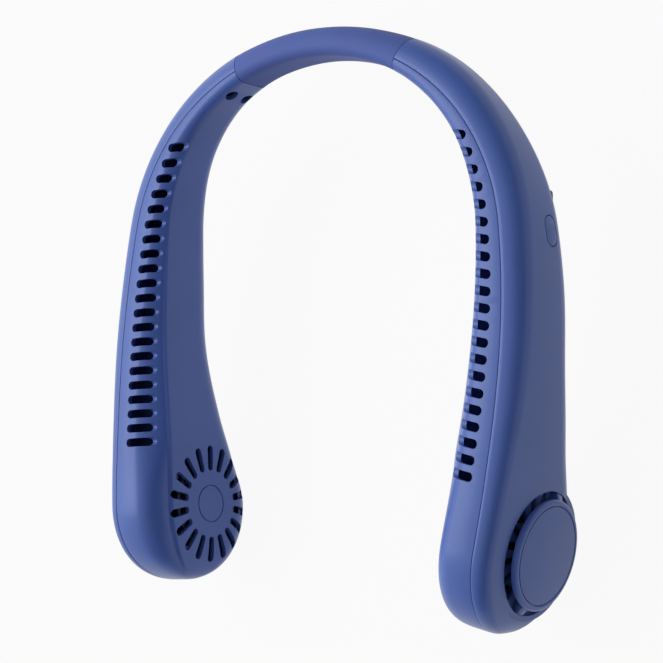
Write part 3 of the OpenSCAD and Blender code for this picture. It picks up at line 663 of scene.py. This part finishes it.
# %% [markdown]
# ## The power button and the charging port
# Only the arm at the wearer's left has them. The face of the button continues the skin
# round it, so the button is cut from a copy of that skin: what lies inside a stadium is
# the button, and the shell loses a stadium that is a little larger. The dark line round
# the button is the shade in the gap between them.

# %% Cut the button and its hole, and the hole of the port
BUTTON_S, BUTTON_DROP, BUTTON_L, BUTTON_W, BUTTON_LEAN = 128, 21.8, 11.2, 7, 12
BUTTON_GAP, BUTTON_EDGE_R = 0.35, 0.35
PORT_X, PORT_N, PORT_W, PORT_T, PORT_REACH, PORT_GAP = -12.5, 4.55, 9, 3.2, 9.2, 0.1
at_button = facing_out(BUTTON_S, BUTTON_DROP) @ Matrix.Rotation(math.radians(BUTTON_LEAN), 4, "Z")


def button_solid(grow, low, high):
    length, width = BUTTON_L + 2 * grow, BUTTON_W + 2 * grow
    back = Matrix.Translation((-length / 2 * MM, 0, 0))
    return stadium(length, width, low, high, at_button @ back, sides=64)


def bevel(piece, width, angle=50, segments=3):
    modifier = piece.modifiers.new("edge", "BEVEL")
    modifier.width = width * MM
    modifier.segments = segments
    modifier.limit_method = "ANGLE"
    modifier.angle_limit = math.radians(angle)
    apply_modifiers(piece)


button = whole_skin
button.name = button.data.name = "power_button_face"
cut(button, [button_solid(0, 0, PADDLE_T)], "INTERSECT")
bevel(button, BUTTON_EDGE_R)
cut(outer_left, [button_solid(BUTTON_GAP, 0, PADDLE_T)])
down = (facing_out(BUTTON_S, BUTTON_DROP) @ Matrix.Translation(Vector((PORT_X, 0, PORT_N)) * MM)
        @ Matrix.Rotation(-math.pi / 2, 4, "X")
        @ Matrix.Translation(Vector((-PORT_W / 2 - PORT_GAP, 0, 0)) * MM))
port_hole = stadium(PORT_W + 2 * PORT_GAP, PORT_T + 2 * PORT_GAP, PORT_REACH, PADDLE_H / 2, down, sides=48)
cut(outer_left, [port_hole])
print("button faces:", len(button.data.polygons))

# %% [markdown]
# ## The cap over the outer intake
# Both caps are round, so a profile spun round the fan's axis gives them. The cap has a
# soft outer edge and a pocket, in which a thin disc lies with a fine dark gap round it.

# %% Spin the cap and its disc
CAP_R, CAP_RIM_H, CAP_LIFT, CAP_WALL = 21.1, 1.2, 3.6, 1.2
DISC_R, DISC_T, DISC_GAP, DISC_TAPER, DISC_EDGE_R = 18.7, 0.8, 0.3, 0.1, 0.2
POCKET_EDGE_R, CAP_EDGE_R, TOUCH = 0.25, 0.3, 0.01
SPIN_STEPS = 128
cap_low, cap_face = FLOOR_Z + CAP_LIFT, PADDLE_T / 2 + CAP_PROUD


def corner_arc(r, z, rx, rz, start, steps):
    """A quarter of an ellipse round (r, z), turning clockwise from its start."""
    turns = [math.radians(start - 90 * i / steps) for i in range(steps + 1)]
    return [(r + rx * math.cos(a), z + rz * math.sin(a)) for a in turns]


def spin_round():
    bpy.ops.mesh.spin(steps=SPIN_STEPS, angle=2 * math.pi, center=(0, 0, 0), axis=(0, 0, 1))


def spun(name, profile, matrix):
    """A closed profile of (radius, height) spun round Z and set in place."""
    bpy.ops.object.select_all(action="DESELECT")
    bpy.ops.mesh.primitive_circle_add(vertices=len(profile), radius=1, fill_type="NOTHING")
    piece = named(name)
    for vertex, (r, z) in zip(piece.data.vertices, profile):
        vertex.co = Vector((r, 0, z)) * MM
    edit(piece, spin_round, weld, bpy.ops.mesh.delete_loose, face_outwards)
    piece.data.transform(matrix)
    return piece


pocket_r = DISC_R - DISC_TAPER + DISC_GAP
rim_r = pocket_r + 2 * POCKET_EDGE_R
cap_profile = ([(0, cap_face - DISC_T), (pocket_r, cap_face - DISC_T)]
               + corner_arc(pocket_r + POCKET_EDGE_R, cap_face - POCKET_EDGE_R,
                            POCKET_EDGE_R, POCKET_EDGE_R, 180, 4)
               + corner_arc(rim_r, cap_low + CAP_RIM_H, CAP_R - rim_r, cap_face - cap_low - CAP_RIM_H, 90, 10)
               + corner_arc(CAP_R - CAP_EDGE_R, cap_low + CAP_EDGE_R, CAP_EDGE_R, CAP_EDGE_R, 0, 4)
               + [(CAP_R - CAP_WALL, cap_low), (CAP_R - 2 * CAP_WALL, cap_face - DISC_T - CAP_WALL),
                  (0, cap_face - DISC_T - CAP_WALL)])
cap_left = spun("intake_cap_skin_left", cap_profile, at_fan)
disc_low = cap_face - DISC_T + TOUCH
disc_profile = ([(0, cap_face)]
                + corner_arc(DISC_R - DISC_TAPER - DISC_EDGE_R, cap_face - DISC_EDGE_R,
                             DISC_EDGE_R, DISC_EDGE_R, 90, 5)
                + [(DISC_R - DISC_TAPER, disc_low), (0, disc_low)])
disc_left = spun("cap_disc_skin_left", disc_profile, at_fan)
print("cap faces:", len(cap_left.data.polygons), "disc faces:", len(disc_left.data.polygons))

# %% [markdown]
# Three ribs carry the cap. They are cubes whose tops are drawn down to the edge of the
# recess, and a union makes them one piece with it.

# %% Add the ribs
RIB_W, RIB_TURNS = 4, (-16.5, 73.5, 163.5)
RIB_EDGE_R, RIB_END_GAP = 0.25, 0.2


def rib(turn):
    bpy.ops.object.select_all(action="DESELECT")
    bpy.ops.mesh.primitive_cube_add(size=1)
    piece = named("rib")
    low, high = CAP_R - CAP_WALL, RECESS_R - RIB_END_GAP
    for vertex in piece.data.vertices:
        x, y, z = vertex.co
        top = cap_low + CAP_RIM_H / 2 if x < 0 else PADDLE_T / 2
        vertex.co = Vector((high if x > 0 else low, y * RIB_W, top if z > 0 else FLOOR_Z + TOUCH)) * MM
    bevel(piece, RIB_EDGE_R, angle=60, segments=2)
    piece.data.transform(at_fan @ Matrix.Rotation(math.radians(turn), 4, "Z"))
    return piece


cut(cap_left, [rib(turn) for turn in RIB_TURNS], "UNION")
cap_right = to_right_side(cap_left, "intake_cap_skin_right")
disc_right = to_right_side(disc_left, "cap_disc_skin_right")
print("cap with ribs:", len(cap_left.data.polygons), "faces")

# %% [markdown]
# ## The soft band
# The band is a silicone sleeve, slid over the plugs of both arms. Inside it a strip of
# spring steel and a cable run from arm to arm. The band bends on both of its joints, and
# a piece can only blend across one, so each of the three is made as two halves that meet
# in the middle. The sleeve is a loft like the arms, with a round edge at its end.

# %% Loft the halves of the sleeve, the strip and the cable
BAND_STEPS, SLEEVE_EDGE_R = 40, 0.25
STRIP_T, STRIP_H, STRIP_OFFSET, STRIP_EDGE, SCREW_CLEARANCE = 0.8, 5.6, 1.2, 0.25, 4
CABLE_D, CABLE_OFFSET, CABLE_STEPS, CABLE_SIDES, CABLE_OVER = 2.4, 1.6, 60, 16, 0.3
PLUG_ARM_L, BOARD_BACK, BOARD_N, BOARD_DROP = 16, 18.3, 2.35, 3.2 - 8
band_mid = sag(0) + BAND_H / 2
strip_end_s = BAND_SCREW_S - SCREW_CLEARANCE
cable_end_s = BUTTON_S - BOARD_BACK + CABLE_OVER


def full_ring(s, w):
    return outer_skin(s, w)[:-1] + inner_skin(s, w)[:-1]


def sleeve_rings():
    end = BAND_HALF_L - SEAM_GAP
    outside = [(end * i / BAND_STEPS, 0) for i in range(BAND_STEPS)]
    edge = [(end - SLEEVE_EDGE_R * (1 - math.sin(a)), SLEEVE_EDGE_R * (1 - math.cos(a)))
            for a in (math.pi / 2 * i / 4 for i in range(5))]
    rings = [[place(s, *p) for p in full_ring(s, w)] for s, w in outside + edge]
    back = [end * i / BAND_STEPS for i in range(BAND_STEPS, -1, -1)]
    inside = [[place(s, *p) for p in full_ring(s, SLEEVE_WALL)] for s in back]
    return closed([closed(ring) for ring in rings + inside])


sleeve_left = grid_piece("band_sleeve_skin_left", sleeve_rings())
edit(sleeve_left, weld, face_outwards)
sleeve_right = to_right_side(sleeve_left, "band_sleeve_skin_right")


def strip_ring(s):
    n, z, edge = STRIP_T / 2, STRIP_H / 2, STRIP_EDGE
    corners = [(n, z - edge), (n - edge, z), (edge - n, z), (-n, z - edge),
               (-n, edge - z), (edge - n, -z), (n - edge, -z), (n, edge - z)]
    return closed([place(s, a - STRIP_OFFSET, b - band_mid) for a, b in corners])


def cable_place(s):
    """The middle of the cable: it leaves the plug for the edge of the board."""
    t = ease(share(s, BAND_HALF_L + PLUG_ARM_L, cable_end_s))
    along = place(s, CABLE_OFFSET, -band_mid)
    board = facing_out(BUTTON_S, BUTTON_DROP) @ (Vector((-BOARD_BACK, BOARD_DROP, BOARD_N)) * MM)
    return along.lerp(board + place(s, 0, 0) - place(cable_end_s, 0, 0), t)


def cable_ring(i):
    s = cable_end_s * i / CABLE_STEPS
    ahead = (cable_place(min(s + 1, cable_end_s)) - cable_place(max(s - 1, 0))).normalized()
    side = ahead.cross(Vector((0, 0, 1))).normalized()
    up = side.cross(ahead)
    middle, turns = cable_place(s), [2 * math.pi * k / CABLE_SIDES for k in range(CABLE_SIDES)]
    return closed([middle + (side * math.cos(a) + up * math.sin(a)) * CABLE_D / 2 * MM for a in turns])


strip_rings = [strip_ring(strip_end_s * i / BAND_STEPS) for i in range(BAND_STEPS + 1)]
strip_left = grid_piece("flex_strip_half_left", strip_rings)
cable_left = grid_piece("link_cable_half_left", [cable_ring(i) for i in range(CABLE_STEPS + 1)])
for piece in (strip_left, cable_left):
    edit(piece, weld, close_open_ends, face_outwards)
strip_right = to_right_side(strip_left, "flex_strip_half_right")
cable_right = to_right_side(cable_left, "link_cable_half_right")
print("sleeve faces:", len(sleeve_left.data.polygons))

# %% [markdown]
# ## Finishes
# One function turns a hex colour into Blender's linear values, and one adds a node with
# its settings and links. Every finish is the same short tree of nodes with its own values.

# %% Helpers for materials
MOTTLE_MM, ROUGHNESS_SPREAD, RAMP_ENDS = 18, 0.05, (0.3, 0.7)


def linear(code):
    parts = [int(code[i:i + 2], 16) / 255 for i in (1, 3, 5)]
    return [*(c / 12.92 if c <= 0.04045 else ((c + 0.055) / 1.055) ** 2.4 for c in parts), 1]


def add(tree, kind, settings=(), **inputs):
    """Adds a node. Settings are attributes; inputs are values or the sockets that feed them."""
    node = tree.nodes.new(kind)
    for key, value in dict(settings).items():
        setattr(node, key, value)
    for key, value in inputs.items():
        socket = node.inputs[int(key[1:]) if key[1:].isdigit() else key.replace("_", " ")]
        if isinstance(value, bpy.types.NodeSocket):
            tree.links.new(value, socket)
        else:
            socket.default_value = value
    return node


def finish(name, code, darker, roughness, grain_mm, relief_mm, **shader):
    """A moulded or cast surface: a mottled colour, and a fine grain in the surface."""
    material = bpy.data.materials.new(name)
    material.use_nodes = True
    tree = material.node_tree
    tree.nodes.clear()
    where = add(tree, "ShaderNodeTexCoord").outputs["Object"]
    broad = add(tree, "ShaderNodeTexNoise", Vector=where, Scale=1 / (MOTTLE_MM * MM), Detail=3.0)
    grain = add(tree, "ShaderNodeTexNoise", Vector=where, Scale=1 / (grain_mm * MM), Detail=4.0,
                Roughness=0.6)
    ramp = add(tree, "ShaderNodeValToRGB", Fac=broad.outputs["Fac"])
    for stop, position, colour in zip(ramp.color_ramp.elements, RAMP_ENDS, (darker, code)):
        stop.position, stop.color = position, linear(colour)
    rough = add(tree, "ShaderNodeMapRange", Value=grain.outputs["Fac"], From_Min=RAMP_ENDS[0],
                From_Max=RAMP_ENDS[1], To_Min=roughness - ROUGHNESS_SPREAD,
                To_Max=roughness + ROUGHNESS_SPREAD)
    bump = add(tree, "ShaderNodeBump", Height=grain.outputs["Fac"], Strength=1.0, Distance=relief_mm * MM)
    surface = add(tree, "ShaderNodeBsdfPrincipled", Base_Color=ramp.outputs["Color"],
                  Roughness=rough.outputs["Result"], Normal=bump.outputs["Normal"], **shader)
    output = add(tree, "ShaderNodeOutputMaterial")
    tree.links.new(surface.outputs["BSDF"], output.inputs["Surface"])
    return material


# %% [markdown]
# The shells are ABS, moulded with a fine spark-eroded texture: an even satin blue that
# shows soft, wide highlights. Inside they get a much darker blue, which is painted shade
# for the inside seen through the slots, the recess and the holes. The band is silicone
# rubber, a little darker and more matte.

# %% Make the finishes of the outside
def satin(name):
    return finish(name, "#455EA3", "#435B9E", 0.32, 0.5, 0.004, IOR=1.5, Specular_IOR_Level=0.3)


satin_abs = satin("satin moulded ABS")
# This darker blue is painted shade for the inside: the real shell is the same blue throughout.
painted_shade_abs = finish("ABS with painted shade inside the shells", "#1E2A5C", "#1B2656", 0.7, 0.8, 0.02, IOR=1.5)
silicone = finish("matte silicone rubber", "#47599B", "#455797", 0.6, 0.4, 0.008, IOR=1.41,
                  Specular_IOR_Level=0.3)
button_abs = satin("satin moulded ABS of the button")

# %% [markdown]
# The pieces inside are seen only through the slots, or when the model is taken apart.
# Each starts from its real material: the fan wheel is dark glass-filled nylon, the screws
# are blackened steel, the port is plated with black nickel, and the boards have a blue
# solder mask.

# %% Make the finishes of the inside
black_nylon = finish("glass-filled nylon", "#1B2348", "#171E40", 0.6, 0.5, 0.015, IOR=1.53)
plug_abs = finish("natural moulded ABS", "#3C4D86", "#384980", 0.55, 0.6, 0.01, IOR=1.5)
black_steel = finish("black oxide steel", "#1C1D22", "#15161A", 0.38, 0.2, 0.004, Metallic=0.9)
spring_steel = finish("blue tempered spring steel", "#8C9099", "#7E838C", 0.3, 0.3, 0.003, Metallic=1.0)
nickel = finish("bright nickel plate", "#C9C7BF", "#BEBCB4", 0.22, 0.3, 0.002, Metallic=1.0)
black_nickel = finish("black nickel plate", "#2A2F42", "#242838", 0.35, 0.3, 0.002, Metallic=0.8)
ferrite = finish("sintered ferrite", "#2C2C30", "#232327", 0.75, 0.25, 0.02, IOR=2.0)
bronze = finish("oil-filled sintered bronze", "#A87B45", "#8F6838", 0.45, 0.15, 0.01, Metallic=0.9)
windings = finish("enamelled copper and steel sheet", "#A65A2E", "#8C4721", 0.35, 0.25, 0.03, Metallic=0.6)
solder_mask = finish("blue solder mask on glass epoxy", "#1B3268", "#162A58", 0.3, 0.9, 0.01, IOR=1.55)
switch_nylon = finish("black nylon of the switch", "#1D1D1F", "#161618", 0.5, 0.4, 0.01, IOR=1.53)
shrink_wrap = finish("PVC shrink wrap", "#2E7A93", "#2A728A", 0.35, 1.5, 0.02, IOR=1.53)
cable_pvc = finish("black PVC cable jacket", "#1A1A1C", "#161618", 0.45, 0.4, 0.01, IOR=1.53)

# %% [markdown]
# ## Who rides on what
# Each piece of an arm, and the button, takes a body of the CAD model, the node that it
# stands for, and the slot of its finish. The halves of the band take the node that they
# stand for and their finish, and are attached to no body.

# %% Dress the pieces
BLEND_MARGIN = 3


def paint(piece, *materials):
    piece.data.materials.clear()
    for material in materials:
        piece.data.materials.append(material)


def dress(piece, materials, body, node):
    paint(piece, *materials)
    smooth(piece)
    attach(piece, body)
    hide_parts(node)


def dress_half(piece, material, node):
    paint(piece, material)
    smooth(piece)
    start, end = (place(s, 0, -band_mid) for s in (BLEND_MARGIN, BAND_HALF_L - BLEND_MARGIN))
    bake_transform(piece)
    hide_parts(node)


shells = {"left": (outer_left, inner_left, cap_left, disc_left),
          "right": (outer_right, inner_right, cap_right, disc_right)}
# The second slot of each shell holds the painted shade of its inside.
for side, (outer, inner, cap, disc) in shells.items():
    body = side + "_arm"
    dress(outer, [satin_abs, painted_shade_abs], body, "outer_shell_" + side)
    dress(inner, [satin_abs, painted_shade_abs], body, "inner_shell_" + side)
    dress(cap, [satin_abs], body, "intake_cap_" + side)
    dress(disc, [satin_abs], body, "cap_disc_" + side)
dress(button, [button_abs], "button", "power_button")
halves = {"left": (sleeve_left, strip_left, cable_left), "right": (sleeve_right, strip_right, cable_right)}
for side, (sleeve, strip, cable) in halves.items():
    dress_half(sleeve, silicone, "band_sleeve")
    dress_half(strip, spring_steel, "flex_strip")
    dress_half(cable, cable_pvc, "link_cable")

# %% [markdown]
# The other CAD nodes stay as they were packed, and only take their finish.

# %% Finish the nodes that stay
node_finishes = {
    "band_plug": plug_abs, "duct_divider": plug_abs, "impeller": black_nylon, "band_screws": black_steel,
    "shell_screws": black_steel, "motor_shaft": spring_steel, "motor_base": nickel, "usb_port": black_nickel,
    "rotor_magnet": ferrite, "motor_bearing": bronze, "motor_stator": windings, "main_board": solder_mask,
    "driver_board": solder_mask, "tact_switch": switch_nylon, "battery": shrink_wrap}
for name, node in frame["nodes"].items():
    kind = name if name in node_finishes else name.rsplit("_", 1)[0]
    paint(node, node_finishes.get(kind, plug_abs))
print("finished nodes:", len(frame["nodes"]))

# %% [markdown]
# ## Stage and light
# The floor is a white sheet. What the camera sees of it is mostly its own white, as in a
# studio cut-out, with a little of the object's shadow, and it gives a little light from
# below. The room is bright at the ceiling and towards the wearer's right, and dark behind
# the camera. That leaves the tops light, the shoulders dark and the sides in between.
# Two softboxes stand where the tops of the arms mirror them: they are the sheen.

# %% Floor, world and lamps
FLOOR_WHITE, OWN_WHITE, PAPER_WHITE, PAPER_GLOW = 0.955, 0.97, 0.8, 0.16
FLOOR_SIZE, FLOOR_Z_M = 6, -0.0005
RIGHT_LIGHT, CEILING_LIGHT, CEILING_POWER = 1.4, 1.3, 4.0
LAMP_AIM = (0, 0, 30)


def grey(value):
    return value, value, value, 1


def calculate(tree, operation, a, b, clamp=False):
    """The result of a math node."""
    settings = {"operation": operation, "use_clamp": clamp}
    return add(tree, "ShaderNodeMath", settings, _0=a, _1=b).outputs[0]


def background_rays(tree):
    """1 for the rays that show the background: seen directly, mirrored or through glass."""
    seen = add(tree, "ShaderNodeLightPath").outputs
    rays = calculate(tree, "MAXIMUM", seen["Is Camera Ray"], seen["Is Glossy Ray"])
    return calculate(tree, "MAXIMUM", rays, seen["Is Transmission Ray"])


def stage_material():
    material = bpy.data.materials.new("white paper sweep")
    material.use_nodes = True
    tree = material.node_tree
    tree.nodes.clear()
    sheet = add(tree, "ShaderNodeBsdfDiffuse", Color=grey(PAPER_WHITE))
    lit = add(tree, "ShaderNodeEmission", Color=grey(1), Strength=PAPER_GLOW)
    paper = add(tree, "ShaderNodeAddShader", _0=sheet.outputs[0], _1=lit.outputs[0])
    glow = add(tree, "ShaderNodeEmission", Color=grey(FLOOR_WHITE), Strength=1.0)
    amount = calculate(tree, "MULTIPLY", background_rays(tree), OWN_WHITE)
    both = add(tree, "ShaderNodeMixShader", _0=amount, _1=paper.outputs[0], _2=glow.outputs[0])
    output = add(tree, "ShaderNodeOutputMaterial")
    tree.links.new(both.outputs[0], output.inputs["Surface"])
    return material


bpy.ops.object.select_all(action="DESELECT")
bpy.ops.mesh.primitive_plane_add(size=FLOOR_SIZE, location=(0, 0, FLOOR_Z_M))
floor = named("floor")
floor.data.materials.append(stage_material())

world = bpy.data.worlds.new("studio")
bpy.context.scene.world = world
world.use_nodes = True
tree = world.node_tree
tree.nodes.clear()
direction = add(tree, "ShaderNodeTexCoord").outputs["Generated"]
towards = add(tree, "ShaderNodeSeparateXYZ", _0=direction).outputs
right = calculate(tree, "MULTIPLY", towards[0], -1.0, clamp=True)
right = calculate(tree, "MULTIPLY", right, RIGHT_LIGHT)
ceiling = calculate(tree, "POWER", towards[2], CEILING_POWER, clamp=True)
ceiling = calculate(tree, "MULTIPLY", ceiling, CEILING_LIGHT)
bright = calculate(tree, "ADD", right, ceiling)
room = add(tree, "ShaderNodeBackground", Color=grey(1), Strength=bright)
white = add(tree, "ShaderNodeBackground", Color=grey(FLOOR_WHITE), Strength=1.0)
seen = add(tree, "ShaderNodeLightPath").outputs["Is Camera Ray"]
both = add(tree, "ShaderNodeMixShader", _0=seen, _1=room.outputs[0], _2=white.outputs[0])
tree.links.new(both.outputs[0], add(tree, "ShaderNodeOutputWorld").inputs["Surface"])


def softbox(name, place_mm, size_mm, watts):
    lamp = bpy.data.objects.new(name, bpy.data.lights.new(name, "AREA"))
    bpy.context.scene.collection.objects.link(lamp)
    lamp.location = Vector(place_mm) * MM
    aim = Vector(LAMP_AIM) * MM - lamp.location
    lamp.rotation_euler = aim.to_track_quat("-Z", "Y").to_euler()
    lamp.data.size = size_mm * MM
    lamp.data.energy = watts


softbox("sheen of the tops", (-590, 40, 830), 700, 4.4)
softbox("sheen of the band", (-450, 500, 800), 500, 1.3)

bpy.context.scene.view_settings.view_transform = "Standard"
